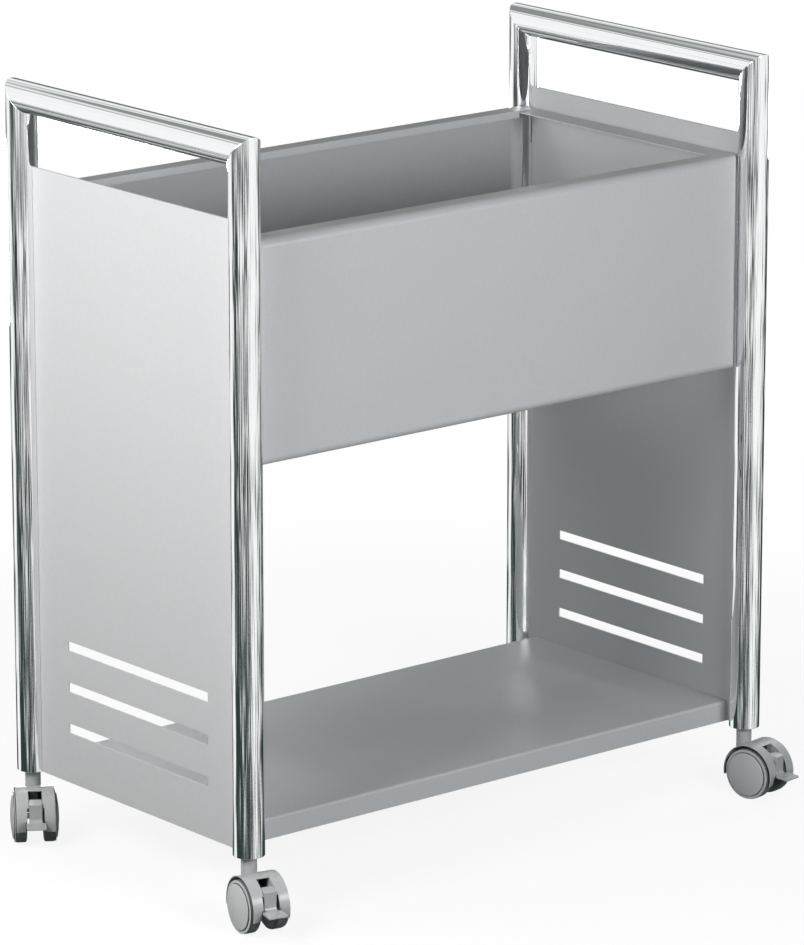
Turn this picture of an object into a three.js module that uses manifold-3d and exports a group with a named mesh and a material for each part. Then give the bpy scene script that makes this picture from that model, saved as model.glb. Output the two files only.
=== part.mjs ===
import * as THREE from 'three';
import { mergeVertices } from 'three/addons/utils/BufferGeometryUtils.js';
import Module from 'manifold-3d';

// Mobile file cart in millimetres: X along the cart, Y from front to back, Z up from the floor.

// End frames of round tube
const postPitchX = 664;
const postPitchY = 360;
const tubeDiameter = 32;
const tubeWall = 1.5;
const footHeight = 72;
const frameHeight = 792;

// Sheet steel, the gap left where two pieces meet, and how far a cut runs past a face
const sheet = 1.5;
const seatGap = 0.3;
const overcut = 5;

// Side panels, set between the posts of each end frame and clear of the hand under the rail
const panelInset = 1;
const gripOpening = 54;
const panelHem = 14;
const slotCount = 3;
const slotLength = 231;
const slotHeight = 10;
const slotPitch = 43.7;
const lowestSlotHeight = 58.5;

// File trough: a front and a back panel with rolled edges, and a rail at each end
const troughDrop = 20.5;
const troughDepth = 224.5;
const troughFaceInset = 3;
const troughBend = 9;
const hookFlange = 27;
const hookLip = 8;
const troughReturn = 14;
const endRailWidth = 30;
const endRailHeight = 40;
const endRailBend = 4;

// Bottom shelf, a tray turned upside down
const shelfDrop = 22;
const shelfFaceInset = 24.4;
const shelfBend = 3;

// Casters, measured from the swivel axis and the floor
const wheelRadius = 27;
const wheelWidth = 11.1;
const wheelEdge = 2;
const casterTrail = 20;
const axleRadius = 3;
const runningGap = 0.3;
const hoodClearance = 1.4;
const hoodWall = 2.6;
const hoodLip = 0.7;
const hoodTaper = 6;
const hoodFrontAngle = -16;
const hoodBackAngle = 191;
const neckRadius = 8;
const neckTopGap = 0.5;
const neckDepth = 22;
const webWidth = 8;
const webShoulder = 12.5;
const webTopReach = 5;
const bossRadius = 6.5;
const bossProud = 0.8;
const cheekThickness = 1.4;
const cheekGap = 0.45;
const stemRadius = 5;
const stemGrip = 36;
const stemSeat = 4;
const socketLength = 38;
const capRimInset = 0.4;
const capRimWidth = 2;
const capGrooveWidth = 1.5;
const capGrooveDepth = 0.9;
const capRimThickness = 1.2;
const capHeight = 4.7;

// Brake lever and its opening in the hood, measured from the axle
const leverWidth = 13.3;
const leverSideGap = 0.4;
const leverFace = 28;
const leverLean = 0.7;
const leverTop = 20.5;
const leverTopFall = 2.4;
const leverDepth = 11;
const leverFillet = 2.4;
const leverPinWall = 4;
const pedalWidth = 20;
const pedalSideGap = 0.3;
const pedalReach = 45.5;
const pedalSetback = 0.7;
const pedalRise = 1.8;
const pedalFall = 1.2;
const pedalThickness = 2.1;
const windowBack = 9.5;
const mouthStep = 16.5;
const mouthRise = 2.8;
const slitGap = 2.25;
const dishTop = 4.5;
const dishWall = 0.6;
const brakePinRadius = 1.5;
const brakePinForward = 17;
const brakePinRise = 15.5;

// Heading of each brake pedal in degrees from +X, as the casters were left
const casterHeading = {
  left_front: -102,
  left_back: -123,
  right_front: -80.5,
  right_back: -95,
};

// Places that several pieces share
const tubeRadius = tubeDiameter / 2;
const postX = postPitchX / 2;
const postY = postPitchY / 2;
const railAxisHeight = frameHeight - tubeRadius;
const panelPlane = postX - panelInset;
const panelInnerX = panelPlane - sheet / 2;
const panelHalfWidth = postY - Math.sqrt(tubeRadius ** 2 - (panelInset + sheet / 2) ** 2) - seatGap;
const panelTop = frameHeight - tubeDiameter - gripOpening;
const troughTop = panelTop - troughDrop;
const troughBottom = troughTop - troughDepth;
const troughFaceY = -postY + troughFaceInset;
const troughHalfLength = postX - tubeRadius - seatGap;
const shelfFaceY = -postY + shelfFaceInset;
const shelfHalfLength = panelInnerX - seatGap;
const shelfTop = footHeight + shelfDrop;
const axleHeight = wheelRadius;
const slotHalf = leverWidth / 2 + leverSideGap;
const mouthHalf = pedalWidth / 2 + pedalSideGap;
const slitHalf = leverWidth / 2 + slitGap;
const wheelInner = slotHalf + cheekThickness + cheekGap;
const wheelOuter = wheelInner + wheelWidth;
const hoodInner = wheelRadius + hoodClearance;
const hoodRadius = hoodInner + hoodWall;
const hoodHalf = wheelOuter;
const neckFoot = axleHeight + hoodRadius - neckDepth;
const capRimRadius = wheelRadius - capRimInset;
const capGrooveRadius = capRimRadius - capRimWidth;
const capDomeRadius = capGrooveRadius - capGrooveWidth;

const tubeSegments = 20;
const wheelSegments = 32;
const smallSegments = 24;
const hoodSegments = 16;
const pinSegments = 12;

const wasm = await Module();
wasm.setup();

const materials = {
  chrome: new THREE.MeshStandardMaterial({ color: 0xd8dcdf, roughness: 0.08, metalness: 1 }),
  paint: new THREE.MeshStandardMaterial({ color: 0xb4b8ba, roughness: 0.5, metalness: 0.1 }),
  housing: new THREE.MeshStandardMaterial({ color: 0xa3a8aa, roughness: 0.45, metalness: 0 }),
  cap: new THREE.MeshStandardMaterial({ color: 0xb0b4b7, roughness: 0.4, metalness: 0 }),
  tread: new THREE.MeshStandardMaterial({ color: 0x6f7777, roughness: 0.6, metalness: 0 }),
  socket: new THREE.MeshStandardMaterial({ color: 0x5c6264, roughness: 0.6, metalness: 0 }),
  steel: new THREE.MeshStandardMaterial({ color: 0xb9bdc0, roughness: 0.3, metalness: 1 }),
};

// Solids for cutting and joining

function toSolid(geometry) {
  const bare = geometry.clone();
  bare.deleteAttribute('normal');
  bare.deleteAttribute('uv');
  const welded = mergeVertices(bare, 1e-4);
  const mesh = new wasm.Mesh({
    numProp: 3,
    vertProperties: new Float32Array(welded.attributes.position.array),
    triVerts: new Uint32Array(welded.index.array),
  });
  return new wasm.Manifold(mesh);
}

function toGeometry(solid) {
  const mesh = solid.getMesh();
  const geometry = new THREE.BufferGeometry();
  geometry.setAttribute('position', new THREE.BufferAttribute(mesh.vertProperties, 3));
  geometry.setIndex(new THREE.BufferAttribute(mesh.triVerts, 1));
  geometry.computeVertexNormals();
  return geometry;
}

function join(...solids) {
  return solids.reduce((whole, next) => whole.add(next));
}

function cut(solid, ...tools) {
  return tools.reduce((whole, tool) => whole.subtract(tool), solid);
}

// Basic forms

function box(low, high) {
  const size = high.map((value, i) => value - low[i]);
  const geometry = new THREE.BoxGeometry(...size);
  geometry.translate(...low.map((value, i) => value + size[i] / 2));
  return geometry;
}

function outline(points) {
  return new THREE.Shape(points.map(([a, b]) => new THREE.Vector2(a, b)));
}

// A bar through one outline: a runs along Y and b along Z, and the bar lies along X
function barAlongX(shape, x0, x1, curveSegments = 4) {
  const geometry = new THREE.ExtrudeGeometry(shape, { depth: x1 - x0, bevelEnabled: false, curveSegments });
  const turn = new THREE.Matrix4().set(0, 0, 1, x0, 1, 0, 0, 0, 0, 1, 0, 0, 0, 0, 0, 1);
  return geometry.applyMatrix4(turn);
}

// The same along Y: a runs along X and b along Z
function barAlongY(shape, y0, y1, curveSegments = 4) {
  const geometry = new THREE.ExtrudeGeometry(shape, { depth: y1 - y0, bevelEnabled: false, curveSegments });
  geometry.rotateX(Math.PI / 2);
  return geometry.translate(0, y1, 0);
}

function barAlongZ(shape, z0, z1, curveSegments = 4) {
  const geometry = new THREE.ExtrudeGeometry(shape, { depth: z1 - z0, bevelEnabled: false, curveSegments });
  return geometry.translate(0, 0, z0);
}

function rodAlongY(radius, y0, y1, x, z, segments = smallSegments) {
  const geometry = new THREE.CylinderGeometry(radius, radius, y1 - y0, segments);
  return geometry.translate(x, (y0 + y1) / 2, z);
}

function rodAlongZ(radius, z0, z1, x, y, segments = smallSegments) {
  const geometry = new THREE.CylinderGeometry(radius, radius, z1 - z0, segments);
  geometry.rotateX(Math.PI / 2);
  return geometry.translate(x, y, (z0 + z1) / 2);
}

// A rectangle whose two corners at the low end of b are rounded
function roundedLow(a0, a1, b0, b1, radius) {
  const shape = new THREE.Shape();
  shape.moveTo(a0, b1);
  shape.lineTo(a0, b0 + radius);
  shape.absarc(a0 + radius, b0 + radius, radius, Math.PI, Math.PI * 1.5, false);
  shape.lineTo(a1 - radius, b0);
  shape.absarc(a1 - radius, b0 + radius, radius, -Math.PI / 2, 0, false);
  shape.lineTo(a1, b1);
  shape.closePath();
  return shape;
}

// A rectangle whose two corners at the low end of a are rounded
function roundedSide(a0, a1, b0, b1, radius) {
  const shape = new THREE.Shape();
  shape.moveTo(a1, b0);
  shape.lineTo(a1, b1);
  shape.lineTo(a0 + radius, b1);
  shape.absarc(a0 + radius, b1 - radius, radius, Math.PI / 2, Math.PI, false);
  shape.lineTo(a0, b0 + radius);
  shape.absarc(a0 + radius, b0 + radius, radius, Math.PI, Math.PI * 1.5, false);
  shape.closePath();
  return shape;
}

const cart = new THREE.Group();
cart.name = 'mobile_file_cart';

function addPart(parent, name, geometry, material) {
  const mesh = new THREE.Mesh(geometry, material);
  mesh.name = name;
  parent.add(mesh);
  return mesh;
}

// End frames: each is two posts and a top rail, cut at 45 degrees where they meet

function tubeLength(length) {
  const ring = new THREE.Shape();
  ring.absarc(0, 0, tubeRadius, 0, Math.PI * 2, false);
  const bore = new THREE.Path();
  bore.absarc(0, 0, tubeRadius - tubeWall, 0, Math.PI * 2, true);
  ring.holes.push(bore);
  return barAlongZ(ring, 0, length, tubeSegments);
}

function halfSpace(point, normal) {
  const size = 200;
  const geometry = new THREE.BoxGeometry(size, size, size);
  geometry.translate(0, 0, size / 2);
  const up = new THREE.Vector3(0, 0, 1);
  const turn = new THREE.Quaternion().setFromUnitVectors(up, normal.clone().normalize());
  geometry.applyQuaternion(turn);
  return toSolid(geometry.translate(point.x, point.y, point.z));
}

function post(x, end) {
  const y = end * postY;
  const tube = toSolid(tubeLength(frameHeight - footHeight + 1).translate(x, y, footHeight));
  const mitre = new THREE.Vector3(x, y, railAxisHeight - seatGap / 2);
  return toGeometry(cut(tube, halfSpace(mitre, new THREE.Vector3(0, -end, 1))));
}

function topRail(x) {
  const length = postPitchY + tubeDiameter + 2;
  const tube = tubeLength(length);
  tube.rotateX(Math.PI / 2);
  tube.translate(x, length / 2, railAxisHeight);
  const ends = [-1, 1].map((end) => {
    const mitre = new THREE.Vector3(x, end * postY, railAxisHeight + seatGap / 2);
    return halfSpace(mitre, new THREE.Vector3(0, end, -1));
  });
  return toGeometry(cut(toSolid(tube), ...ends));
}

for (const [side, x] of [['left', -postX], ['right', postX]]) {
  addPart(cart, `${side}_front_post`, post(x, -1), materials.chrome);
  addPart(cart, `${side}_back_post`, post(x, 1), materials.chrome);
  addPart(cart, `${side}_top_rail`, topRail(x), materials.chrome);
}

// Side panels: flat sheet with a hemmed top edge and a ladder of long slots

function sidePanel(side) {
  const plane = side * panelPlane;
  const face = outline([
    [-panelHalfWidth, footHeight],
    [panelHalfWidth, footHeight],
    [panelHalfWidth, panelTop],
    [-panelHalfWidth, panelTop],
  ]);
  for (let i = 0; i < slotCount; i += 1) {
    const middle = footHeight + lowestSlotHeight + i * slotPitch;
    const slot = new THREE.Path();
    slot.moveTo(-slotLength / 2, middle - slotHeight / 2);
    slot.lineTo(-slotLength / 2, middle + slotHeight / 2);
    slot.lineTo(slotLength / 2, middle + slotHeight / 2);
    slot.lineTo(slotLength / 2, middle - slotHeight / 2);
    slot.closePath();
    face.holes.push(slot);
  }
  const skin = toSolid(barAlongX(face, plane - sheet / 2, plane + sheet / 2));
  const hemX = [plane, plane - side * sheet * 1.5].sort((a, b) => a - b);
  const hem = toSolid(box(
    [hemX[0], -panelHalfWidth, panelTop - panelHem],
    [hemX[1], panelHalfWidth, panelTop],
  ));
  return toGeometry(join(skin, hem));
}

addPart(cart, 'left_side_panel', sidePanel(-1), materials.paint);
addPart(cart, 'right_side_panel', sidePanel(1), materials.paint);

// File trough: the top flange of each long panel carries the file hooks

function troughPanel() {
  const back = troughFaceY + hookFlange;
  const outer = toSolid(barAlongX(
    roundedSide(troughFaceY, back, troughBottom, troughTop, troughBend),
    -troughHalfLength,
    troughHalfLength,
  )).intersect(toSolid(barAlongZ(
    roundedLow(-troughHalfLength, troughHalfLength, troughFaceY, back, troughBend),
    troughBottom,
    troughTop,
  )));
  const bend = troughBend - sheet;
  const inside = troughHalfLength - sheet;
  const inner = toSolid(barAlongX(
    roundedSide(troughFaceY + sheet, back + overcut, troughBottom + sheet, troughTop - sheet, bend),
    -troughHalfLength,
    troughHalfLength,
  )).intersect(toSolid(barAlongZ(
    roundedLow(-inside, inside, troughFaceY + sheet, back + overcut, bend),
    troughBottom,
    troughTop,
  )));
  const trim = toSolid(box(
    [-postPitchX, troughFaceY + troughReturn, troughBottom - overcut],
    [postPitchX, back + overcut, troughTop - sheet],
  ));
  const lipHalf = panelInnerX - seatGap - endRailWidth - seatGap;
  const lip = toSolid(box(
    [-lipHalf, back - sheet, troughTop - hookLip],
    [lipHalf, back, troughTop - sheet / 2],
  ));
  return toGeometry(join(cut(outer, inner, trim), lip));
}

addPart(cart, 'front_trough_panel', troughPanel(), materials.paint);
addPart(cart, 'back_trough_panel', troughPanel(), materials.paint).rotation.z = Math.PI;

// End rails: angles on the side panels, tucked under the hook flanges

function endRail() {
  const outerX = shelfHalfLength;
  const top = troughTop - sheet - seatGap;
  const half = -troughFaceY - troughReturn - seatGap;
  const angle = new THREE.Shape();
  angle.moveTo(outerX, top - endRailHeight);
  angle.lineTo(outerX, top - endRailBend);
  angle.absarc(outerX - endRailBend, top - endRailBend, endRailBend, 0, Math.PI / 2, false);
  angle.lineTo(outerX - endRailWidth, top);
  angle.lineTo(outerX - endRailWidth, top - sheet);
  angle.lineTo(outerX - endRailBend, top - sheet);
  angle.absarc(outerX - endRailBend, top - endRailBend, endRailBend - sheet, Math.PI / 2, 0, true);
  angle.lineTo(outerX - sheet, top - endRailHeight);
  angle.closePath();
  return barAlongY(angle, -half, half);
}

addPart(cart, 'right_end_rail', endRail(), materials.paint);
addPart(cart, 'left_end_rail', endRail(), materials.paint).rotation.z = Math.PI;

// Bottom shelf

function shelf() {
  const half = -shelfFaceY;
  const profile = new THREE.Shape();
  profile.moveTo(-half, footHeight);
  profile.lineTo(half, footHeight);
  profile.lineTo(half, shelfTop - shelfBend);
  profile.absarc(half - shelfBend, shelfTop - shelfBend, shelfBend, 0, Math.PI / 2, false);
  profile.lineTo(-half + shelfBend, shelfTop);
  profile.absarc(-half + shelfBend, shelfTop - shelfBend, shelfBend, Math.PI / 2, Math.PI, false);
  profile.closePath();
  const tray = toSolid(barAlongX(profile, -shelfHalfLength, shelfHalfLength, 3));
  const hollow = toSolid(box(
    [-shelfHalfLength + sheet, -half + sheet, footHeight - overcut],
    [shelfHalfLength - sheet, half - sheet, shelfTop - sheet],
  ));
  return toGeometry(cut(tray, hollow));
}

addPart(cart, 'bottom_shelf', shelf(), materials.paint);

// Casters. Each is drawn with its swivel axis on Z and its pedal towards +X, then turned.

function hood() {
  const rad = Math.PI / 180;
  const arc = new THREE.Shape();
  arc.absarc(casterTrail, axleHeight, hoodRadius, hoodFrontAngle * rad, hoodBackAngle * rad, false);
  arc.absarc(casterTrail, axleHeight, hoodInner, hoodBackAngle * rad, hoodFrontAngle * rad, true);
  arc.closePath();
  const drum = toSolid(barAlongY(arc, -hoodHalf, hoodHalf, hoodSegments));

  // The wall thins to a lip at each rim
  const lips = [-1, 1].map((side) => {
    const lip = hoodRadius - hoodLip;
    const radii = side > 0 ? [lip, hoodInner] : [hoodInner, lip];
    const cone = new THREE.CylinderGeometry(...radii, hoodTaper, hoodSegments * 4);
    return toSolid(cone.translate(casterTrail, side * (hoodHalf - hoodTaper / 2), axleHeight));
  });

  // Opening for the lever: as wide as the lever at the top, with a slit each side, and as the pedal below
  const front = [casterTrail + windowBack, casterTrail + hoodRadius + overcut];
  const window = box([front[0], -slotHalf, 0], [front[1], slotHalf, axleHeight + hoodRadius]);
  const slits = box([front[0], -slitHalf, 0], [front[1], slitHalf, axleHeight + mouthStep]);
  const mouth = box([front[0], -mouthHalf, 0], [front[1], mouthHalf, axleHeight + mouthRise]);

  // Beside the pedal each half is dished, from nothing at the rim to its deepest at the opening
  const foot = hoodRadius * Math.sin(hoodFrontAngle * rad);
  const dishes = [-1, 1].map((side) => {
    const corner = (radius, across, rise) => new THREE.Vector3(
      casterTrail + Math.sqrt(radius ** 2 - rise ** 2),
      side * across,
      axleHeight + rise,
    );
    const top = corner(hoodRadius, mouthHalf, dishTop);
    const rim = corner(hoodRadius, hoodHalf, foot);
    const deep = corner(hoodInner + dishWall, mouthHalf, foot);
    const normal = rim.sub(top).cross(deep.sub(top)).multiplyScalar(-side);
    const across = [0, side * hoodRadius].sort((a, b) => a - b);
    const half = box([casterTrail, across[0], 0], [front[1], across[1], axleHeight + dishTop]);
    return halfSpace(top, normal).intersect(toSolid(half));
  });
  return cut(drum, ...lips, toSolid(window), toSolid(slits), toSolid(mouth), ...dishes);
}

function casterHousing() {
  const fill = new THREE.Shape();
  fill.absarc(casterTrail, axleHeight, hoodInner + hoodWall / 3, 0, Math.PI * 2, false);
  const disc = toSolid(barAlongY(fill, -wheelInner, wheelInner, hoodSegments));
  const web = join(
    toSolid(box(
      [0, -webWidth / 2, axleHeight - bossRadius],
      [casterTrail + bossRadius, webWidth / 2, axleHeight + webShoulder],
    )),
    toSolid(box(
      [0, -webWidth / 2, axleHeight - bossRadius],
      [neckRadius + webTopReach, webWidth / 2, axleHeight + hoodRadius],
    )),
  ).intersect(disc);
  const cheeks = [-1, 1].map((side) => {
    const y = [side * slotHalf, side * (slotHalf + cheekThickness)].sort((a, b) => a - b);
    return toSolid(box(
      [casterTrail + brakePinForward - leverPinWall * 3, y[0], axleHeight + brakePinRise - leverPinWall],
      [casterTrail + brakePinForward + leverPinWall, y[1], axleHeight + hoodRadius],
    )).intersect(disc);
  });
  const neckTop = footHeight - neckTopGap;
  const neck = toSolid(rodAlongZ(neckRadius, neckFoot, neckTop, 0, 0));
  const bossEnd = webWidth / 2 + bossProud;
  const boss = toSolid(rodAlongY(bossRadius, -bossEnd, bossEnd, casterTrail, axleHeight));
  const body = join(hood(), web, ...cheeks, neck, boss);

  const stemBore = toSolid(rodAlongZ(stemRadius + runningGap, neckFoot + stemSeat, neckTop + overcut, 0, 0));
  const axleBore = toSolid(rodAlongY(axleRadius + runningGap, -hoodHalf, hoodHalf, casterTrail, axleHeight));
  const pinBore = toSolid(rodAlongY(
    brakePinRadius + runningGap,
    -wheelInner,
    wheelInner,
    casterTrail + brakePinForward,
    axleHeight + brakePinRise,
    pinSegments,
  ));
  return toGeometry(cut(body, stemBore, axleBore, pinBore));
}

// Lathed pieces lie along Y. A flat of the wheel's polygon rests on the floor.
function lathe(points, segments) {
  const profile = points.map(([r, y]) => new THREE.Vector2(r, y));
  const geometry = new THREE.LatheGeometry(profile, segments);
  geometry.rotateY(Math.PI / segments);
  return geometry;
}

function wheel() {
  const round = 1 / Math.cos(Math.PI / wheelSegments);
  const tread = wheelRadius * round;
  const bore = axleRadius + runningGap;
  return lathe([
    [bore, wheelInner],
    [tread - wheelEdge, wheelInner],
    [tread - wheelEdge * 0.3, wheelInner + wheelEdge * 0.3],
    [tread, wheelInner + wheelEdge],
    [tread, wheelOuter - wheelEdge / 2],
    [tread - wheelEdge / 2, wheelOuter],
    [bore, wheelOuter],
    [bore, wheelInner],
  ], wheelSegments).translate(casterTrail, 0, axleHeight);
}

function wheelCap() {
  const seat = wheelOuter + seatGap;
  const rim = seat + capRimThickness;
  const crown = seat + capHeight;
  const dome = [1, 0.8, 0.55, 0.28].map((part) => {
    const rise = Math.sqrt(1 - part ** 2);
    return [capDomeRadius * part, rim + (crown - rim) * rise];
  });
  return lathe([
    [0, seat],
    [capRimRadius - 0.4, seat],
    [capRimRadius, seat + 0.4],
    [capRimRadius, rim - 0.3],
    [capRimRadius - 0.5, rim],
    [capGrooveRadius, rim],
    [capGrooveRadius, rim - capGrooveDepth],
    [capDomeRadius, rim - capGrooveDepth],
    ...dome,
    [0, crown],
  ], wheelSegments).translate(casterTrail, 0, axleHeight);
}

function brakeLever() {
  const at = ([u, z]) => [casterTrail + u, axleHeight + z];
  const pedalRoot = hoodRadius - pedalSetback;
  const pedalTip = pedalRise - pedalFall;
  const under = pedalRise - pedalThickness;
  const face = leverFace - leverLean;
  const arm = outline([
    [leverFace - leverDepth, leverTop + leverTopFall],
    [brakePinForward - leverPinWall - 0.5, brakePinRise + leverPinWall * 0.75],
    [brakePinForward - leverPinWall, brakePinRise - leverPinWall],
    [brakePinForward + leverPinWall, brakePinRise - leverPinWall * 2],
    [face - leverFillet, under],
    [pedalRoot, under],
    [pedalReach, pedalTip - pedalThickness],
    [pedalReach, pedalTip],
    [pedalRoot, pedalRise],
    [face + leverFillet, pedalRise],
    [face, pedalRise + leverFillet],
    [leverFace, leverTop],
  ].map(at));
  const plate = outline([
    [pedalRoot, under],
    [pedalReach, pedalTip - pedalThickness],
    [pedalReach, pedalTip],
    [pedalRoot, pedalRise],
  ].map(at));
  const body = toSolid(barAlongY(arm, -leverWidth / 2, leverWidth / 2));
  const pedal = toSolid(barAlongY(plate, -pedalWidth / 2, pedalWidth / 2));
  const bore = toSolid(rodAlongY(
    brakePinRadius + runningGap,
    -pedalWidth,
    pedalWidth,
    casterTrail + brakePinForward,
    axleHeight + brakePinRise,
    pinSegments,
  ));
  return toGeometry(cut(join(body, pedal), bore));
}

function socket() {
  const top = footHeight + socketLength;
  const sleeve = toSolid(rodAlongZ(
    tubeRadius - tubeWall - seatGap,
    footHeight + seatGap,
    top,
    0,
    0,
    tubeSegments * 2,
  ));
  const bore = toSolid(rodAlongZ(stemRadius + seatGap, footHeight - overcut, top + overcut, 0, 0));
  return toGeometry(cut(sleeve, bore));
}

function addCaster(corner, x, y) {
  const group = new THREE.Group();
  group.name = `${corner}_caster`;
  group.position.set(x, y, 0);
  group.rotation.z = THREE.MathUtils.degToRad(casterHeading[corner]);
  cart.add(group);
  const name = (piece) => `${corner}_${piece}`;
  const stemFoot = neckFoot + stemSeat + runningGap;
  addPart(group, name('socket'), socket(), materials.socket);
  addPart(group, name('stem'), rodAlongZ(stemRadius, stemFoot, footHeight + stemGrip, 0, 0), materials.steel);
  addPart(group, name('housing'), casterHousing(), materials.housing);
  const axleEnd = wheelOuter - 0.5;
  const axle = rodAlongY(axleRadius, -axleEnd, axleEnd, casterTrail, axleHeight);
  addPart(group, name('axle'), axle, materials.steel);
  const pinEnd = slotHalf + cheekThickness;
  const pin = rodAlongY(
    brakePinRadius,
    -pinEnd,
    pinEnd,
    casterTrail + brakePinForward,
    axleHeight + brakePinRise,
    pinSegments,
  );
  addPart(group, name('brake_pin'), pin, materials.steel);
  addPart(group, name('brake_lever'), brakeLever(), materials.housing);
  addPart(group, name('wheel_a'), wheel(), materials.tread);
  addPart(group, name('cap_a'), wheelCap(), materials.cap);

  // The second wheel is the first one turned about the caster's upright middle line
  const far = new THREE.Group();
  far.position.set(2 * casterTrail, 0, 0);
  far.rotation.z = Math.PI;
  group.add(far);
  addPart(far, name('wheel_b'), wheel(), materials.tread);
  addPart(far, name('cap_b'), wheelCap(), materials.cap);
}

addCaster('left_front', -postX, -postY);
addCaster('left_back', -postX, postY);
addCaster('right_front', postX, -postY);
addCaster('right_back', postX, postY);

export default cart;
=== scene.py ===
import bmesh
import bpy
import math
from mathutils import Matrix, Vector


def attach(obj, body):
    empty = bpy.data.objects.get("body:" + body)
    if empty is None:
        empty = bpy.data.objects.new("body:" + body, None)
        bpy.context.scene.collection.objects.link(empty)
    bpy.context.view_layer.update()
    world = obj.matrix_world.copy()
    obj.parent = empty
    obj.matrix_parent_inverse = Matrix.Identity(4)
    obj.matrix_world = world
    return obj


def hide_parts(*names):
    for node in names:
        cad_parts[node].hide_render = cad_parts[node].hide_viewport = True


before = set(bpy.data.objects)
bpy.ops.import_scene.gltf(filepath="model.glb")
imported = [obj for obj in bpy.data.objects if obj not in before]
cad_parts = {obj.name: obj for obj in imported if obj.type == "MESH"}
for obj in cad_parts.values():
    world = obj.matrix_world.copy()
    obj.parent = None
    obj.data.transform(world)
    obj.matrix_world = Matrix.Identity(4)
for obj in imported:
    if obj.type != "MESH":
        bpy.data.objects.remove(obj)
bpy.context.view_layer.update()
mm = 0.001
mergeGap = 0.002 * mm  # points closer than this become one
onPlane = 1e-7  # points closer than this to a plane lie on it
sameWay = 0.9  # directions with a larger cosine between them count as one

# main lines of the cart, in millimetres: X along it, Y front to back, Z up
cart = {"postX": 332, "postY": 180, "tubeRadius": 16, "tubeWall": 1.5, "foot": 72, "top": 792, "sheet": 1.5}
# each corner's side of the cart, and the way its caster points in degrees
corners = {
    "left_front": {"x": -1, "y": -1, "heading": -102},
    "left_back": {"x": -1, "y": 1, "heading": -123},
    "right_front": {"x": 1, "y": -1, "heading": -80.5},
    "right_back": {"x": 1, "y": 1, "heading": -95},
}


def at(*point):
    return Vector(point) * mm


def tidyMesh(bm):
    bmesh.ops.remove_doubles(bm, verts=bm.verts[:], dist=mergeGap)
    bmesh.ops.recalc_face_normals(bm, faces=bm.faces[:])


def gather(bm, faces):
    if faces is None:
        return bm.verts[:] + bm.edges[:] + bm.faces[:]
    edges = dict.fromkeys(e for f in faces for e in f.edges)
    verts = dict.fromkeys(v for f in faces for v in f.verts)
    return [*verts, *edges, *faces]


def score(bm, point, normal, faces=None, cut=False):
    # adds edges where a plane passes, and with cut also takes away what lies beyond it
    bmesh.ops.bisect_plane(bm, geom=gather(bm, faces), dist=onPlane, plane_co=point, plane_no=normal,
                           clear_outer=cut)


def vertsOf(geom):
    return [g for g in geom if isinstance(g, bmesh.types.BMVert)]


def facing(bm, way):
    return [f for f in bm.faces if f.normal.dot(Vector(way)) > sameWay]


def turnLargest(bm, way):
    # an open sheet is turned as a whole so that its largest face looks the given way
    bmesh.ops.recalc_face_normals(bm, faces=bm.faces[:])
    if max(bm.faces, key=lambda f: f.calc_area()).normal.dot(Vector(way)) < 0:
        bmesh.ops.reverse_faces(bm, faces=bm.faces[:])


def spinProfile(bm, points, centre, steps, axis=(0, 1, 0), closed=False):
    # points are (radius, along the axis); the axis is Y or Z
    up = axis[2] == 1
    place = [Vector((r, 0, a)) if up else Vector((r, a, 0)) for r, a in points]
    verts = [bm.verts.new(Vector(centre) * mm + p * mm) for p in place]
    edges = [bm.edges.new(pair) for pair in zip(verts, verts[1:])]
    if closed:
        edges.append(bm.edges.new((verts[-1], verts[0])))
    bmesh.ops.spin(bm, geom=verts + edges, cent=at(*centre), axis=axis, angle=math.tau,
                   steps=steps, use_merge=True)


def pushOut(bm, faces, move):
    made = bmesh.ops.extrude_face_region(bm, geom=faces)["geom"]
    bmesh.ops.translate(bm, vec=move, verts=vertsOf(made))


def finishPiece(name, bm, material, body, place=None, wall=0, wallSide=-1, rounding=0,
                roundSteps=2, roundAngle=35):
    if place is not None:
        bmesh.ops.transform(bm, matrix=place, verts=bm.verts[:])
    mesh = bpy.data.meshes.new(name)
    bm.to_mesh(mesh)
    bm.free()
    mesh.materials.append(material)
    mesh.polygons.foreach_set("use_smooth", [True] * len(mesh.polygons))
    piece = bpy.data.objects.new(name, mesh)
    bpy.context.scene.collection.objects.link(piece)
    if wall:
        shell = piece.modifiers.new("wall", "SOLIDIFY")
        shell.thickness, shell.offset = wall * mm, wallSide
        shell.use_even_offset = True
    if rounding:
        soft = piece.modifiers.new("rounding", "BEVEL")
        soft.width, soft.segments, soft.profile = rounding * mm, roundSteps, 0.5
        soft.limit_method, soft.angle_limit = "ANGLE", math.radians(roundAngle)
        soft.use_clamp_overlap = True
        soft.miter_outer = "MITER_ARC"
    flat = piece.modifiers.new("flatFaces", "WEIGHTED_NORMAL")
    flat.mode, flat.weight = "FACE_AREA", 50
    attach(piece, body)
    return piece


# finishes, from shared effects that are built once as node groups
def newGroup(name, inputs, outputs):
    group = bpy.data.node_groups.new(name, "ShaderNodeTree")
    for label, (kind, value) in inputs.items():
        socket = group.interface.new_socket(name=label, in_out="INPUT", socket_type=kind)
        socket.default_value = value
    for label in outputs:
        group.interface.new_socket(name=label, in_out="OUTPUT", socket_type="NodeSocketFloat")
    return group, group.nodes.new("NodeGroupInput"), group.nodes.new("NodeGroupOutput")


def addNode(tree, kind, **values):
    node = tree.nodes.new(kind)
    for key, value in values.items():
        setattr(node, key, value)
    return node


def mathNode(tree, operation, first, second=None, clamp=False):
    node = addNode(tree, "ShaderNodeMath", operation=operation, use_clamp=clamp)
    for socket, value in zip(node.inputs, (first, second)):
        if value is None:
            continue
        if isinstance(value, bpy.types.NodeSocket):
            tree.links.new(value, socket)
        else:
            socket.default_value = value
    return node.outputs[0]


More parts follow.
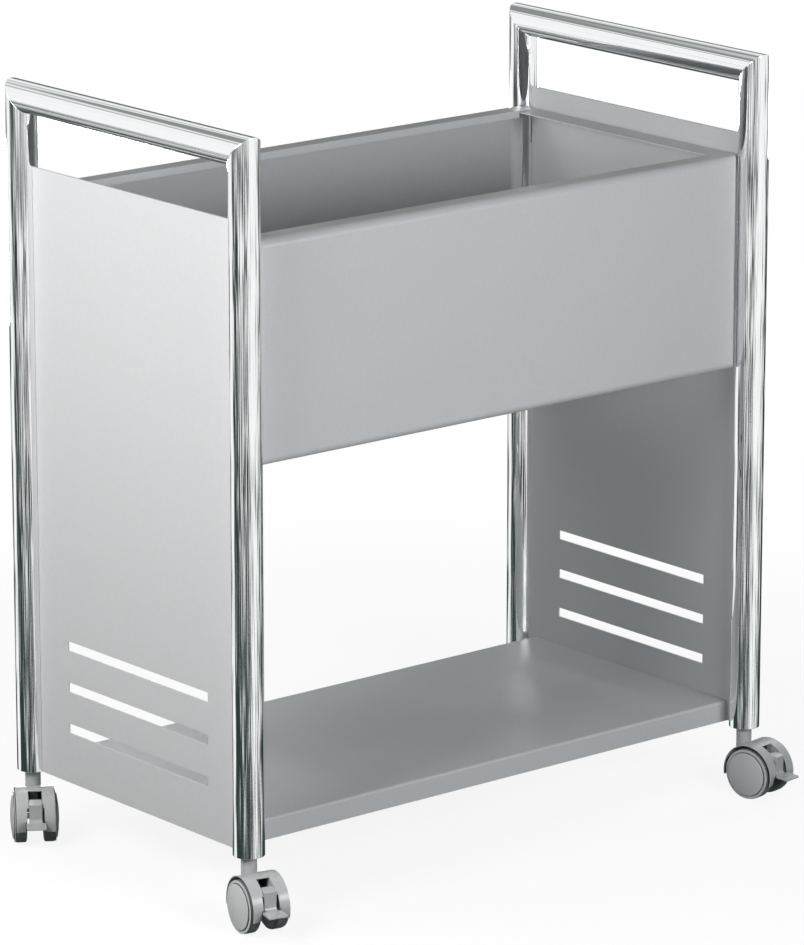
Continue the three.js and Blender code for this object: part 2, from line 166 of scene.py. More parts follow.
def noiseNode(tree, vector, scale, detail=2.0, roughness=0.5):
    node = addNode(tree, "ShaderNodeTexNoise")
    tree.links.new(vector, node.inputs["Vector"])
    for label, value in (("Scale", scale), ("Detail", detail), ("Roughness", roughness)):
        if isinstance(value, bpy.types.NodeSocket):
            tree.links.new(value, node.inputs[label])
        else:
            node.inputs[label].default_value = value
    return node.outputs["Fac"]


grainMix = {"pitScale": 0.8, "pitShare": 0.5, "speckScale": 0.35}
cloudRange = (0.34, 0.68)
# strength of the paler corners, which are partly wear and partly a painted highlight
wearAndSheenMix = {"samples": 6, "ridge": 9.0, "gap": 0.35, "contrast": 2.6}


def makeFineGrain():
    # a fine skin such as powder coat or moulded plastic: height, and a faint speckle of shade
    group, start, end = newGroup("fineGrain", {
        "Scale": ("NodeSocketFloat", 900.0), "Speckle": ("NodeSocketFloat", 0.05)}, ("Height", "Shade"))
    place = addNode(group, "ShaderNodeTexCoord").outputs["Object"]
    scale = start.outputs["Scale"]
    coarse = noiseNode(group, place, scale, detail=3.0, roughness=0.55)
    pits = addNode(group, "ShaderNodeTexVoronoi", feature="SMOOTH_F1")
    group.links.new(place, pits.inputs["Vector"])
    group.links.new(mathNode(group, "MULTIPLY", scale, grainMix["pitScale"]), pits.inputs["Scale"])
    deep = mathNode(group, "MULTIPLY", pits.outputs["Distance"], grainMix["pitShare"])
    group.links.new(mathNode(group, "ADD", coarse, deep), end.inputs["Height"])
    speckScale = mathNode(group, "MULTIPLY", scale, grainMix["speckScale"])
    speck = noiseNode(group, place, speckScale, detail=4.0, roughness=0.7)
    shade = mathNode(group, "MULTIPLY", mathNode(group, "SUBTRACT", speck, 0.5), start.outputs["Speckle"])
    group.links.new(mathNode(group, "ADD", shade, 0.5), end.inputs["Shade"])
    return group


def makeHandlingMarks():
    # cloudy patches left by hands and wiping, from Low to High
    group, start, end = newGroup("handlingMarks", {
        "Scale": ("NodeSocketFloat", 9.0), "Low": ("NodeSocketFloat", 0.3),
        "High": ("NodeSocketFloat", 0.5)}, ("Value",))
    place = addNode(group, "ShaderNodeTexCoord").outputs["Object"]
    broad = noiseNode(group, place, start.outputs["Scale"], detail=5.0, roughness=0.62)
    spread = addNode(group, "ShaderNodeMapRange", interpolation_type="SMOOTHSTEP")
    group.links.new(broad, spread.inputs["Value"])
    spread.inputs["From Min"].default_value, spread.inputs["From Max"].default_value = cloudRange
    group.links.new(start.outputs["Low"], spread.inputs["To Min"])
    group.links.new(start.outputs["High"], spread.inputs["To Max"])
    group.links.new(spread.outputs["Result"], end.inputs["Value"])
    return group


def makeEdgeWearAndSheen():
    # 1 along corners, for worn paint and a painted highlight on the edges, broken up by noise, and 0 on open
    # faces
    group, start, end = newGroup("edgeWearAndSheen", {
        "Width": ("NodeSocketFloat", 0.0008), "Breakup": ("NodeSocketFloat", 160.0)}, ("Mask",))
    place = addNode(group, "ShaderNodeTexCoord").outputs["Object"]
    rounded = addNode(group, "ShaderNodeBevel", samples=wearAndSheenMix["samples"])
    group.links.new(start.outputs["Width"], rounded.inputs["Radius"])
    surface = addNode(group, "ShaderNodeNewGeometry").outputs["Normal"]
    compare = addNode(group, "ShaderNodeVectorMath", operation="DOT_PRODUCT")
    group.links.new(rounded.outputs["Normal"], compare.inputs[0])
    group.links.new(surface, compare.inputs[1])
    turned = mathNode(group, "SUBTRACT", 1.0, compare.outputs["Value"])
    ridge = mathNode(group, "MULTIPLY", turned, wearAndSheenMix["ridge"], clamp=True)
    patch = noiseNode(group, place, start.outputs["Breakup"], detail=4.0, roughness=0.65)
    patch = mathNode(group, "SUBTRACT", patch, wearAndSheenMix["gap"])
    patch = mathNode(group, "MULTIPLY", patch, wearAndSheenMix["contrast"], clamp=True)
    group.links.new(mathNode(group, "MULTIPLY", ridge, patch), end.inputs["Mask"])
    return group


groups = {"fineGrain": makeFineGrain(), "handlingMarks": makeHandlingMarks(), "edgeWearAndSheen": makeEdgeWearAndSheen()}


def useGroup(tree, name, **values):
    node = addNode(tree, "ShaderNodeGroup", node_tree=groups[name], label=name)
    for key, value in values.items():
        node.inputs[key].default_value = value
    return node


def startMaterial(name, **plain):
    material = bpy.data.materials.new(name)
    material.use_nodes = True
    tree = material.node_tree
    shader = tree.nodes["Principled BSDF"]
    for label, value in plain.items():
        shader.inputs[label.replace("_", " ")].default_value = value
    return material, tree, shader


def mixColour(tree, factor, first, second):
    # this node's colour sockets are inputs 6 and 7 and output 2
    node = addNode(tree, "ShaderNodeMix", data_type="RGBA")
    tree.links.new(factor, node.inputs[0])
    for socket, value in ((node.inputs[6], first), (node.inputs[7], second)):
        if isinstance(value, bpy.types.NodeSocket):
            tree.links.new(value, socket)
        else:
            socket.default_value = (*value, 1)
    return node.outputs[2]


def roughen(tree, shader, height, strength, depth):
    bump = addNode(tree, "ShaderNodeBump")
    bump.inputs["Strength"].default_value = strength
    bump.inputs["Distance"].default_value = depth * mm
    tree.links.new(height, bump.inputs["Height"])
    tree.links.new(bump.outputs["Normal"], shader.inputs["Normal"])


def coatedFinish(name, look):
    # paint or moulded plastic: speckled colour, cloudy gloss, fine skin, and paler edges that are partly
    # rubbed wear and partly a painted highlight
    material, tree, shader = startMaterial(name, Metallic=0.0)
    grain = useGroup(tree, "fineGrain", Scale=look["grain"], Speckle=look["speckle"])
    marks = useGroup(tree, "handlingMarks", Scale=look["cloud"], Low=look["gloss"][0], High=look["gloss"][1])
    wearAndSheen = useGroup(tree, "edgeWearAndSheen", Width=look["edge"] * mm)
    skin = mixColour(tree, grain.outputs["Shade"], look["deep"], look["pale"])
    # corners turn towards a paler colour: partly rubbed wear, partly a painted highlight
    wornAndLit = mathNode(tree, "MULTIPLY", wearAndSheen.outputs["Mask"], look["wearAndSheen"])
    tree.links.new(mixColour(tree, wornAndLit, skin, look["bare"]), shader.inputs["Base Color"])
    tree.links.new(marks.outputs["Value"], shader.inputs["Roughness"])
    roughen(tree, shader, grain.outputs["Height"], look["bump"], look["skin"])
    return material


def chromeFinish(name, look, along):
    # polished plate: faint drawing lines along the tube, cloudy gloss from hands
    material, tree, shader = startMaterial(name, Metallic=1.0)
    marks = useGroup(tree, "handlingMarks", Scale=look["cloud"], Low=look["gloss"][0], High=look["gloss"][1])
    place = addNode(tree, "ShaderNodeTexCoord").outputs["Object"]
    stretch = addNode(tree, "ShaderNodeMapping")
    stretch.inputs["Scale"].default_value = [look["long"] if i == along else look["fine"] for i in range(3)]
    tree.links.new(place, stretch.inputs["Vector"])
    lines = noiseNode(tree, stretch.outputs["Vector"], 1.0)
    tree.links.new(mixColour(tree, lines, look["deep"], look["pale"]), shader.inputs["Base Color"])
    tree.links.new(marks.outputs["Value"], shader.inputs["Roughness"])
    roughen(tree, shader, lines, look["bump"], look["skin"])
    return material


paintLook = {
    "deep": (0.468, 0.487, 0.500), "pale": (0.528, 0.547, 0.560), "bare": (0.62, 0.64, 0.65),
    "grain": 900.0, "speckle": 1.2, "cloud": 7.0, "gloss": (0.40, 0.50), "edge": 0.6, "wearAndSheen": 0.35,
    "bump": 0.16, "skin": 0.06,
}
hoodLook = {
    "deep": (0.385, 0.402, 0.406), "pale": (0.435, 0.452, 0.456), "bare": (0.55, 0.57, 0.58),
    "grain": 1600.0, "speckle": 1.0, "cloud": 30.0, "gloss": (0.25, 0.36), "edge": 0.5, "wearAndSheen": 0.4,
    "bump": 0.12, "skin": 0.04,
}
capLook = {
    "deep": (0.490, 0.507, 0.519), "pale": (0.550, 0.567, 0.579), "bare": (0.62, 0.64, 0.65),
    "grain": 1600.0, "speckle": 1.0, "cloud": 40.0, "gloss": (0.27, 0.38), "edge": 0.4, "wearAndSheen": 0.4,
    "bump": 0.10, "skin": 0.04,
}
treadLook = {
    "deep": (0.092, 0.115, 0.112), "pale": (0.125, 0.150, 0.147), "bare": (0.20, 0.23, 0.23),
    "grain": 1100.0, "speckle": 1.6, "cloud": 60.0, "gloss": (0.50, 0.66), "edge": 0.6, "wearAndSheen": 0.5,
    "bump": 0.20, "skin": 0.06,
}
socketLook = {
    "deep": (0.090, 0.098, 0.102), "pale": (0.120, 0.128, 0.132), "bare": (0.2, 0.2, 0.2),
    "grain": 1500.0, "speckle": 1.2, "cloud": 40.0, "gloss": (0.5, 0.62), "edge": 0.4, "wearAndSheen": 0.3,
    "bump": 0.15, "skin": 0.05,
}
chromeLook = {
    "deep": (0.90, 0.915, 0.92), "pale": (0.96, 0.965, 0.97), "cloud": 14.0, "gloss": (0.015, 0.05),
    "fine": 420.0, "long": 3.0, "bump": 0.05, "skin": 0.05,
}
pinLook = {
    "deep": (0.52, 0.53, 0.54), "pale": (0.64, 0.65, 0.66), "cloud": 60.0, "gloss": (0.22, 0.36),
    "fine": 900.0, "long": 300.0, "bump": 0.06, "skin": 0.03,
}
finishes = {
    "painted_sheet": coatedFinish("satinGreyPaint", paintLook),
    "caster_plastic": coatedFinish("greyHoodPlastic", hoodLook),
    "cap_plastic": coatedFinish("paleCapPlastic", capLook),
    "wheel_plastic": coatedFinish("darkTread", treadLook),
    "socket_plastic": coatedFinish("darkSocketPlastic", socketLook),
    "chromePost": chromeFinish("chromePost", chromeLook, 2),
    "chromeRail": chromeFinish("chromeRail", chromeLook, 1),
    "steel_pin": chromeFinish("brightPinSteel", pinLook, 2),
}
print("finishes made:", len(finishes))

# end frames: two posts and a rail of round tube, mitred where they meet
tubeLook = {"around": 96, "mitreGap": 0.05, "spare": 1, "rounding": 0.25}


def tubeAlong(axis, length):
    bm = bmesh.new()
    bmesh.ops.create_circle(bm, segments=tubeLook["around"], radius=cart["tubeRadius"] * mm)
    made = bmesh.ops.extrude_edge_only(bm, edges=bm.edges[:])["geom"]
    bmesh.ops.translate(bm, vec=at(0, 0, length), verts=vertsOf(made))
    if axis == "y":
        bmesh.ops.rotate(bm, cent=(0, 0, 0), matrix=Matrix.Rotation(-math.pi / 2, 3, "X"), verts=bm.verts[:])
    return bm


def makePost(corner):
    side = corners[corner]
    x, y = side["x"] * cart["postX"], side["y"] * cart["postY"]
    bm = tubeAlong("z", cart["top"] + tubeLook["spare"] - cart["foot"])
    bmesh.ops.translate(bm, vec=at(x, y, cart["foot"]), verts=bm.verts[:])
    mitre = at(x, y, cart["top"] - cart["tubeRadius"] - tubeLook["mitreGap"])
    score(bm, mitre, (0, -side["y"], 1), cut=True)
    tidyMesh(bm)
    piece = finishPiece(f"{corner}_chrome_post", bm, finishes["chromePost"], "frame",
                        wall=cart["tubeWall"], rounding=tubeLook["rounding"])
    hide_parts(f"{corner}_post")


def makeRail(side):
    x = -cart["postX"] if side == "left" else cart["postX"]
    reach = cart["postY"] + cart["tubeRadius"] + tubeLook["spare"]
    height = cart["top"] - cart["tubeRadius"]
    bm = tubeAlong("y", 2 * reach)
    bmesh.ops.translate(bm, vec=at(x, -reach, height), verts=bm.verts[:])
    for end in (-1, 1):
        mitre = at(x, end * cart["postY"], height + tubeLook["mitreGap"])
        score(bm, mitre, (0, end, -1), cut=True)
    tidyMesh(bm)
    piece = finishPiece(f"{side}_chrome_rail", bm, finishes["chromeRail"], "frame",
                        wall=cart["tubeWall"], rounding=tubeLook["rounding"])
    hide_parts(f"{side}_top_rail")


for corner in corners:
    makePost(corner)
for side in ("left", "right"):
    makeRail(side)
print("end frames made")

# side panels: flat sheet, hemmed top edge, three long slots
sidePanel = {
    "plane": 331, "halfWidth": 163.8, "top": 706, "hem": 14, "hemGap": 0.02, "slots": (130.5, 174.2, 217.9),
    "slotHalf": 115.5, "slotHeight": 10, "rounding": 0.3,
}


def makeSidePanel(side):
    sign = -1 if side == "left" else 1
    p = sidePanel
    bm = bmesh.new()
    bmesh.ops.create_grid(bm, x_segments=1, y_segments=1, size=1)
    height = p["top"] - cart["foot"]
    bmesh.ops.scale(bm, vec=at(height / 2, p["halfWidth"], 1), verts=bm.verts[:])
    bmesh.ops.rotate(bm, cent=(0, 0, 0), matrix=Matrix.Rotation(math.pi / 2, 3, "Y"), verts=bm.verts[:])
    bmesh.ops.translate(bm, vec=at(sign * p["plane"], 0, cart["foot"] + height / 2), verts=bm.verts[:])
    for y in (-p["slotHalf"], p["slotHalf"]):
        score(bm, at(0, y, 0), (0, 1, 0))
    for z in p["slots"]:
        for edge in (-0.5, 0.5):
            score(bm, at(0, 0, z + edge * p["slotHeight"]), (0, 0, 1))
    holes = [f for f in bm.faces if abs(f.calc_center_median().y) < p["slotHalf"] * mm
             and any(abs(f.calc_center_median().z - z * mm) < p["slotHeight"] * mm / 2 for z in p["slots"])]
    bmesh.ops.delete(bm, geom=holes, context="FACES")
    turnLargest(bm, (sign, 0, 0))
    bmesh.ops.solidify(bm, geom=bm.faces[:], thickness=cart["sheet"] * mm)
    middle = sum(v.co.x for v in bm.verts) / len(bm.verts)
    bmesh.ops.translate(bm, vec=(sign * p["plane"] * mm - middle, 0, 0), verts=bm.verts[:])
    # the turned-down hem is a second thickness against the inner face
    hem = bmesh.ops.create_cube(bm, size=1)["verts"]
    bmesh.ops.scale(bm, vec=at(cart["sheet"], 2 * p["halfWidth"], p["hem"]), verts=hem)
    inner = sign * (p["plane"] - cart["sheet"] - p["hemGap"])
    bmesh.ops.translate(bm, vec=at(inner, 0, p["top"] - p["hem"] / 2), verts=hem)
    bmesh.ops.recalc_face_normals(bm, faces=bm.faces[:])
    piece = finishPiece(f"{side}_slotted_panel", bm, finishes["painted_sheet"], "frame",
                        rounding=p["rounding"])
    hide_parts(f"{side}_side_panel")


makeSidePanel("left")
makeSidePanel("right")
print("side panels made")

# file trough: long front and back panels with rolled edges, and an angle at each end
trough = {
    "half": 315.7, "face": 177, "flange": 27, "back": 14, "top": 685.5, "bottom": 461, "roll": 9,
    "rollSteps": 8, "lip": 8, "lipHalf": 299.65, "near": 0.1, "rounding": 0.3,
}
endRail = {"outer": 329.95, "width": 30, "height": 40, "top": 683.7, "half": 162.7, "bend": 4, "bendSteps": 6}


def makeTroughPanel(end):
    t = trough
    bm = bmesh.new()
    bmesh.ops.create_cube(bm, size=1)
    bmesh.ops.scale(bm, vec=at(2 * t["half"], t["flange"], t["top"] - t["bottom"]), verts=bm.verts[:])
    middle = at(0, -t["face"] + t["flange"] / 2, (t["top"] + t["bottom"]) / 2)
    bmesh.ops.translate(bm, vec=middle, verts=bm.verts[:])
    bmesh.ops.delete(bm, geom=facing(bm, (0, 1, 0)), context="FACES")
    front = facing(bm, (0, -1, 0))[0]
    bmesh.ops.bevel(bm, geom=list(front.edges), offset=t["roll"] * mm, offset_type="OFFSET",
                    segments=t["rollSteps"], profile=0.5, affect="EDGES", material=-1)
    # the ends and the bottom turn back only a little way; the top flange keeps its depth
    score(bm, at(0, -t["face"] + t["back"], 0), (0, 1, 0))
    top = set(facing(bm, (0, 0, 1)))
    short = [f for f in bm.faces if f.calc_center_median().y > (-t["face"] + t["back"]) * mm and f not in top]
    bmesh.ops.delete(bm, geom=short, context="FACES")
    for x in (-t["lipHalf"], t["lipHalf"]):
        score(bm, at(x, 0, 0), (1, 0, 0), facing(bm, (0, 0, 1)))
    deep, wide = (-t["face"] + t["flange"] - t["near"]) * mm, (t["lipHalf"] + t["near"]) * mm
    edge = [e for e in bm.edges if e.is_boundary
            and all(v.co.y > deep and abs(v.co.x) < wide for v in e.verts)]
    made = bmesh.ops.extrude_edge_only(bm, edges=edge)["geom"]
    bmesh.ops.translate(bm, vec=at(0, 0, -t["lip"]), verts=vertsOf(made))
    bmesh.ops.remove_doubles(bm, verts=bm.verts[:], dist=mergeGap)
    turnLargest(bm, (0, -1, 0))
    turned = Matrix.Rotation(0 if end == "front" else math.pi, 4, "Z")
    piece = finishPiece(f"{end}_rolled_panel", bm, finishes["painted_sheet"], "frame",
                        place=turned, wall=cart["sheet"], rounding=t["rounding"])
    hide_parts(f"{end}_trough_panel")


def makeEndRail(side):
    r = endRail
    bm = bmesh.new()
    line = [(r["outer"], r["top"] - r["height"]), (r["outer"], r["top"]), (r["outer"] - r["width"], r["top"])]
    verts = [bm.verts.new(at(x, -r["half"], z)) for x, z in line]
    edges = [bm.edges.new(pair) for pair in zip(verts, verts[1:])]
    made = bmesh.ops.extrude_edge_only(bm, edges=edges)["geom"]
    bmesh.ops.translate(bm, vec=at(0, 2 * r["half"], 0), verts=vertsOf(made))
    fold = [e for e in bm.edges if len(e.link_faces) == 2]
    bmesh.ops.bevel(bm, geom=fold, offset=r["bend"] * mm, offset_type="OFFSET", segments=r["bendSteps"],
                    profile=0.5, affect="EDGES", material=-1)
    turnLargest(bm, (1, 0, 0))
    turned = Matrix.Rotation(0 if side == "right" else math.pi, 4, "Z")
    piece = finishPiece(f"{side}_end_angle", bm, finishes["painted_sheet"], "frame",
                        place=turned, wall=cart["sheet"], rounding=trough["rounding"])
    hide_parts(f"{side}_end_rail")


for end in ("front", "back"):
    makeTroughPanel(end)
for side in ("left", "right"):
    makeEndRail(side)
print("file trough made")

# bottom shelf: a tray turned upside down
shelf = {"half": 329.95, "face": 155.6, "top": 94, "bend": 3, "bendSteps": 5, "rounding": 0.3}


def makeShelf():
    s = shelf
    bm = bmesh.new()
    bmesh.ops.create_cube(bm, size=1)
    bmesh.ops.scale(bm, vec=at(2 * s["half"], 2 * s["face"], s["top"] - cart["foot"]), verts=bm.verts[:])
    bmesh.ops.translate(bm, vec=at(0, 0, (s["top"] + cart["foot"]) / 2), verts=bm.verts[:])
    bmesh.ops.delete(bm, geom=facing(bm, (0, 0, -1)), context="FACES")
    top = facing(bm, (0, 0, 1))[0]
    folds = sorted(top.edges, key=lambda e: e.calc_length())[-2:]  # the two long ones
    bmesh.ops.bevel(bm, geom=folds, offset=s["bend"] * mm, offset_type="OFFSET", segments=s["bendSteps"],
                    profile=0.5, affect="EDGES", material=-1)
    turnLargest(bm, (0, 0, 1))
    piece = finishPiece("binder_shelf", bm, finishes["painted_sheet"], "frame",
                        wall=cart["sheet"], rounding=s["rounding"])
    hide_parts("bottom_shelf")


makeShelf()
print("shelf made")

# casters, drawn with the swivel axis on Z and the pedal towards +X, then turned into place
caster = {
    "trail": 20, "axle": 27, "half": 20, "radius": 31, "wall": 0.8, "from": -16, "to": 191, "rounding": 0.3,
    "rimStrip": 0.5, "mouthHalf": 10.3, "slit": 8.9, "slotHalf": 7.05, "stepAngle": 3, "fewSteps": 4,
    "slitFoot": 2.8, "dishTop": 4.5, "mouthTop": 16.5, "windowBack": 9.5, "dishDeep": 28.3,
    "neck": 8, "neckFoot": 36, "neckTop": 71.5, "neckEdge": 0.6, "neckSides": 48, "bore": 5.3,
    "boreFloor": 40, "bossRadius": 6.5, "bossHalf": 4.8, "bossBore": 3.3, "bossSides": 40, "holeSides": 24,
    "webHalf": 4, "webRadius": 29.2, "webInset": 0.5, "webFrom": 60, "webSweep": 150, "webSteps": 48,
    "webs": ((5.4, 13, 39.0, 60), (0, 26.5, 20.5, 39.6)),  # left, right, low, high
    "cheek": (7.05, 8.35), "cheekFoot": 11.5, "cheekBack": 5, "cheekFront": 21, "cheekClear": 0.1,
    "cheekHole": 1.55, "cheekSteps": 10,
}
lever = {
    "half": 6.65, "plateHalf": 10, "rounding": 0.45, "pin": (17, 15.5), "pinHole": 1.8,
    "arm": [(17, 22.9), (12.5, 18.5), (13, 11.5), (21, 7.5), (24.9, -0.3), (30.3, -0.3),
            (30.3, 1.8), (29.7, 1.8), (28.2, 2.5), (27.3, 4.2), (28, 20.5)],
    "plate": [(30.0, -0.3), (45.5, -1.5), (45.5, 0.6), (30.0, 1.8)],
}
# rounded edges are pairs: in from the rim, and back from the side
wheel = {
    "inner": 8.9, "outer": 20, "radius": 27, "bore": 3.3, "hub": 9, "rim": 22.5, "ramp": 1, "recess": 0.8,
    "shoulder": ((2, 0), (1.1, 0.25), (0.35, 0.9), (0, 2)), "edge": ((0, 1), (0.3, 0.3), (1, 0)),
    "around": 96, "rounding": 0.15,
}
cap = {
    "seat": 20.3, "rim": 26.6, "groove": 23.9, "dome": 23.1, "rimTop": 21.4, "floor": 20.4, "step": 22.9,
    "crown": 25.0, "seatEdge": 0.4, "rimEdge": ((0, 0.4), (0.15, 0.12), (0.5, 0)),
    "domeEdge": ((0, 0.6), (0.2, 0.2), (0.7, 0)), "crownSteps": 10, "near": 0.05, "around": 96,
    "rounding": 0.12,
}


def polar(radius, degrees):
    angle = math.radians(degrees)
    return caster["trail"] + radius * math.cos(angle), caster["axle"] + radius * math.sin(angle)


def dishPlane(side):
    # runs from the rim's foot to the deepest point beside the pedal
    c = caster
    foot = c["radius"] * math.sin(math.radians(c["from"]))

    def corner(radius, across, rise):
        return at(c["trail"] + math.sqrt(radius ** 2 - rise ** 2), side * across, c["axle"] + rise)

    top = corner(c["radius"], c["mouthHalf"], c["dishTop"])
    rim = corner(c["radius"], c["half"], foot)
    deep = corner(c["dishDeep"], c["mouthHalf"], foot)
    normal = (rim - top).cross(deep - top).normalized()
    return top, normal if normal.x > 0 else -normal


def shapeHood(bm):
    c = caster
    across = [-c["half"], -c["half"] + c["rimStrip"], -c["mouthHalf"], -c["slit"], -c["slotHalf"]]
    across += [-a for a in reversed(across)]
    x, z = polar(c["radius"], c["from"])
    verts = [bm.verts.new(at(x, w, z)) for w in across]
    geom = verts + [bm.edges.new(pair) for pair in zip(verts, verts[1:])]
    rises = [c[name] / c["radius"] for name in ("slitFoot", "dishTop", "mouthTop")]
    stops = [c["from"]] + [math.degrees(math.asin(rise)) for rise in rises]
    stops += [math.degrees(math.acos(c["windowBack"] / c["radius"])), c["to"]]
    centre = at(c["trail"], 0, c["axle"])
    for low, high in zip(stops, stops[1:]):
        made = bmesh.ops.spin(bm, geom=geom, cent=centre, axis=(0, -1, 0), angle=math.radians(high - low),
                              steps=max(c["fewSteps"], round((high - low) / c["stepAngle"])))
        geom = made["geom_last"]
    tidyMesh(bm)

    def opening(angle):
        if angle < stops[1]:
            return c["mouthHalf"]
        return c["slit"] if angle < stops[3] else c["slotHalf"]

    gone = []
    for f in bm.faces:
        spot = f.calc_center_median()
        angle = math.degrees(math.atan2(spot.z - centre.z, spot.x - centre.x))
        angle += 360 if angle < -90 else 0
        if angle < stops[4] and abs(spot.y) < opening(angle) * mm:
            gone.append(f)
    bmesh.ops.delete(bm, geom=gone, context="FACES")
    # dished facets beside the pedal
    reach = (c["axle"] + c["dishTop"]) * mm
    for side in (-1, 1):
        point, normal = dishPlane(side)
        spots = [(f, f.calc_center_median()) for f in bm.faces]
        score(bm, point, normal, [f for f, m in spots if m.z < reach and m.x > centre.x and m.y * side > 0])
        for v in bm.verts:
            proud = (v.co - point).dot(normal)
            if v.co.y * side > 0 and v.co.x > centre.x and v.co.z < reach + mergeGap and proud > onPlane:
                v.co.x -= proud / normal.x
    bmesh.ops.remove_doubles(bm, verts=bm.verts[:], dist=mergeGap)
    if max(bm.faces, key=lambda f: f.calc_center_median().z).normal.z < 0:
        bmesh.ops.reverse_faces(bm, faces=bm.faces[:])
    bmesh.ops.solidify(bm, geom=bm.faces[:], thickness=c["wall"] * mm)


def shapeWeb(bm, left, right, low, high):
    # a ring sector about the axle, trimmed square, that joins hood, neck and boss
    c = caster
    known = set(bm.faces)
    ends = [polar(radius, c["webFrom"]) for radius in (c["bossRadius"] - c["webInset"], c["webRadius"])]
    verts = [bm.verts.new(at(x, -c["webHalf"], z)) for x, z in ends]
    line = [bm.edges.new(verts)]
    bmesh.ops.spin(bm, geom=verts + line, cent=at(c["trail"], 0, c["axle"]), axis=(0, -1, 0),
                   angle=math.radians(c["webSweep"]), steps=c["webSteps"])

    def mine():
        return [f for f in bm.faces if f not in known]

    for point, normal in (((left, 0, 0), (-1, 0, 0)), ((0, 0, low), (0, 0, -1)),
                          ((0, 0, high), (0, 0, 1)), ((right, 0, 0), (1, 0, 0))):
        score(bm, at(*point), normal, mine(), cut=True)
    pushOut(bm, mine(), at(0, 2 * c["webHalf"], 0))


def fillOutline(bm, outline, hole, radius, across):
    # flat plate through an outline, with a round hole, at one Y
    c = caster
    ring = [bm.verts.new(at(c["trail"] + u, across, c["axle"] + z)) for u, z in outline]
    edges = [bm.edges.new((a, b)) for a, b in zip(ring, ring[1:] + ring[:1])]
    if hole:
        made = bmesh.ops.create_circle(bm, segments=c["holeSides"], radius=radius * mm)["verts"]
        bmesh.ops.rotate(bm, cent=(0, 0, 0), matrix=Matrix.Rotation(math.pi / 2, 3, "X"), verts=made)
        bmesh.ops.translate(bm, vec=at(c["trail"] + hole[0], across, c["axle"] + hole[1]), verts=made)
        edges += dict.fromkeys(e for v in made for e in v.link_edges)
    made = bmesh.ops.triangle_fill(bm, use_beauty=True, use_dissolve=False, edges=edges, normal=(0, 1, 0))
    return [g for g in made["geom"] if isinstance(g, bmesh.types.BMFace)]


def shapeCheek(bm, side):
    c = caster
    near, far = c["cheek"]
    radius, foot, back, front = c["webRadius"], c["cheekFoot"], c["cheekBack"], c["cheekFront"]
    low, high = math.asin(foot / radius), math.acos(back / radius)
    arc = [low + (high - low) * i / c["cheekSteps"] for i in range(c["cheekSteps"] + 1)]
    rim = [(radius * math.cos(a), radius * math.sin(a)) for a in arc]
    outline = [(back, foot), (front, foot)] + [(u, z) for u, z in rim if u < front - c["cheekClear"]]
    faces = fillOutline(bm, outline, lever["pin"], c["cheekHole"], side * near)
    pushOut(bm, faces, at(0, side * (far - near), 0))


def makeHousing(corner, place):
    c = caster
    bm = bmesh.new()
    shapeHood(bm)
    for box in c["webs"]:
        shapeWeb(bm, *box)
    for side in (-1, 1):
        shapeCheek(bm, side)
    neck = [(c["bore"], c["boreFloor"]), (c["bore"], c["neckTop"]), (c["neck"] - c["neckEdge"], c["neckTop"]),
            (c["neck"], c["neckTop"] - c["neckEdge"]), (c["neck"], c["neckFoot"]), (0, c["neckFoot"]),
            (0, c["boreFloor"])]
    spinProfile(bm, neck, (0, 0, 0), c["neckSides"], axis=(0, 0, 1), closed=True)
    inner, outer, half = c["bossBore"], c["bossRadius"], c["bossHalf"]
    spinProfile(bm, [(inner, -half), (outer, -half), (outer, half), (inner, half)],
                (c["trail"], 0, c["axle"]), c["bossSides"], closed=True)
    tidyMesh(bm)
    piece = finishPiece(f"{corner}_hood", bm, finishes["caster_plastic"], f"{corner}_swivel",
                        place=place, rounding=c["rounding"], roundAngle=40)
    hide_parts(f"{corner}_housing")


def makeLever(corner, place):
    bm = bmesh.new()
    arm = fillOutline(bm, lever["arm"], lever["pin"], lever["pinHole"], -lever["half"])
    pushOut(bm, arm, at(0, 2 * lever["half"], 0))
    known = set(bm.faces)
    fillOutline(bm, lever["plate"], None, 0, -lever["plateHalf"])
    pushOut(bm, [f for f in bm.faces if f not in known], at(0, 2 * lever["plateHalf"], 0))
    bmesh.ops.recalc_face_normals(bm, faces=bm.faces[:])
    piece = finishPiece(f"{corner}_pedal", bm, finishes["caster_plastic"], f"{corner}_brake",
                        place=place, rounding=lever["rounding"], roundSteps=3,
                        roundAngle=30)
    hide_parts(f"{corner}_brake_lever")


def makeTyre(corner, hand, hub, place):
    w = wheel
    radius, inner, outer = w["radius"], w["inner"], w["outer"]
    line = [(w["bore"], inner), (w["hub"], inner), (w["hub"] + w["ramp"], inner + w["recess"]),
            (w["rim"] - w["ramp"], inner + w["recess"]), (w["rim"], inner)]
    line += [(radius - inward, inner + back) for inward, back in w["shoulder"]]
    line += [(radius - inward, outer - back) for inward, back in w["edge"]]
    bm = bmesh.new()
    spinProfile(bm, line + [(w["bore"], outer)], hub, w["around"], closed=True)
    tidyMesh(bm)
    piece = finishPiece(f"{corner}_tyre_{hand}", bm, finishes["wheel_plastic"], f"{corner}_roller_{hand}",
                        place=place, rounding=w["rounding"], roundAngle=50)
    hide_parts(f"{corner}_wheel_{hand}")


